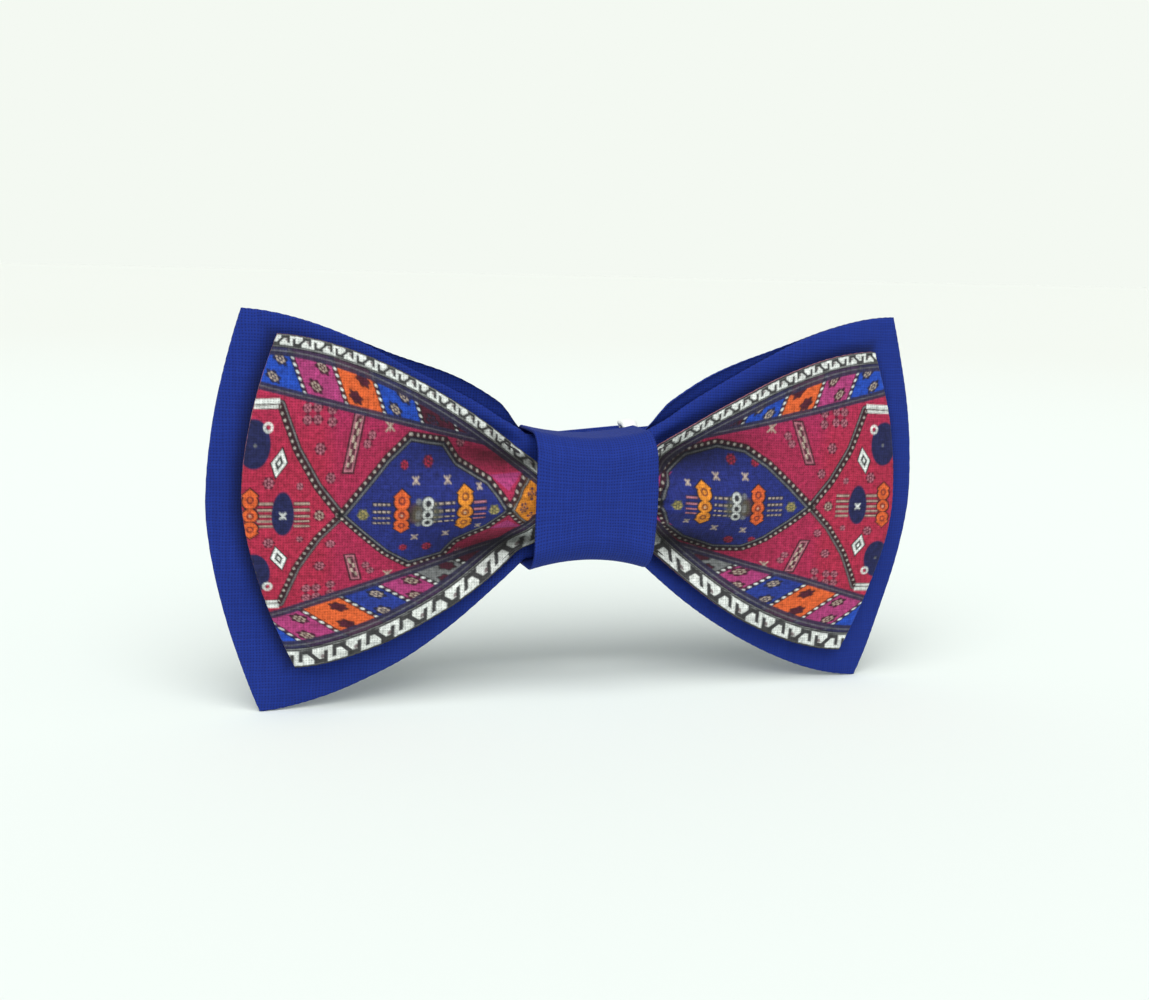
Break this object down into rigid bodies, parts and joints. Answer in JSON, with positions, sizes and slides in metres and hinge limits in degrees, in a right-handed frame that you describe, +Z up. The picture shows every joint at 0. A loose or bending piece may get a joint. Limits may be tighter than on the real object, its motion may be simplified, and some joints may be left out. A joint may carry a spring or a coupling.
{
  "type": "bow tie",
  "caption": "Pre-tied double bow tie: plain cotton back bow, printed front bow, centre wrap and a folded adjustable neck band with slide, hook and ring.",
  "frame": {"origin": "middle of the centre wrap's back face, where the knot rests on the collar button", "axes": "+X to the right seen from the front, along the bow; +Y to the back, towards the neck; +Z up as worn"},
  "size_m": [0.1182, 0.0262, 0.0634],
  "materials": {
    "plain_cotton": "plain-woven royal blue cotton, matt",
    "printed_cotton": "plain-woven cotton with a carpet-like print, matt",
    "interlining": "non-woven",
    "blue_thread": "polyester sewing thread",
    "dark_thread": "polyester sewing thread",
    "white_plastic": "moulded, smooth"
  },
  "bodies": {
    "bow": {"outer_front_panel": "plain_cotton", "outer_back_panel": "plain_cotton", "outer_interlining": "interlining", "outer_seam_thread": "blue_thread", "inner_front_panel": "printed_cotton", "inner_back_panel": "printed_cotton", "inner_interlining": "interlining", "inner_seam_thread": "dark_thread", "outer_waist_thread": "blue_thread", "inner_waist_thread": "dark_thread", "centre_wrap": "plain_cotton", "wrap_interlining": "interlining", "wrap_closing_stitches": "blue_thread", "neck_band": "plain_cotton", "right_outer_fold": "plain_cotton", "left_outer_fold": "plain_cotton"},
    "right_end": {"right_strap": "plain_cotton", "right_strap_return": "plain_cotton"},
    "adjuster": {"adjuster_slide": "white_plastic", "slide_bar_tack": "blue_thread"},
    "hook": {"band_hook": "white_plastic"},
    "left_end": {"left_strap": "plain_cotton", "ring_bar_tack": "blue_thread"},
    "ring": {"band_ring": "white_plastic"}
  },
  "joints": [
    {"name": "right_end_unfold", "type": "hinge", "parent": "bow", "child": "right_end", "pos_m": [0.05027, 0.00545, 0.00584], "axis": [0.0958, 0, -0.9954], "range_deg": [0, 160], "deforming": ["right_outer_fold"]},
    {"name": "adjuster_travel", "type": "slide", "parent": "right_end", "child": "adjuster", "axis": [0.9954, 0, 0.0958], "range_m": [-0.014, 0.028], "deforming": ["right_strap_return"]},
    {"name": "hook_swivel", "type": "hinge", "parent": "right_end", "child": "hook", "pos_m": [-0.01752, 0.00923, -0.00069], "axis": [0.0958, 0, -0.9954], "range_deg": [-15, 75]},
    {"name": "left_end_unfold", "type": "hinge", "parent": "bow", "child": "left_end", "pos_m": [-0.05027, 0.00545, -0.00384], "axis": [-0.0958, 0, 0.9954], "range_deg": [0, 160], "deforming": ["left_outer_fold"]},
    {"name": "ring_swivel", "type": "hinge", "parent": "left_end", "child": "ring", "pos_m": [-0.03782, 0.00855, -0.00264], "axis": [-0.0958, 0, 0.9954], "range_deg": [-15, 75]}
  ]
}
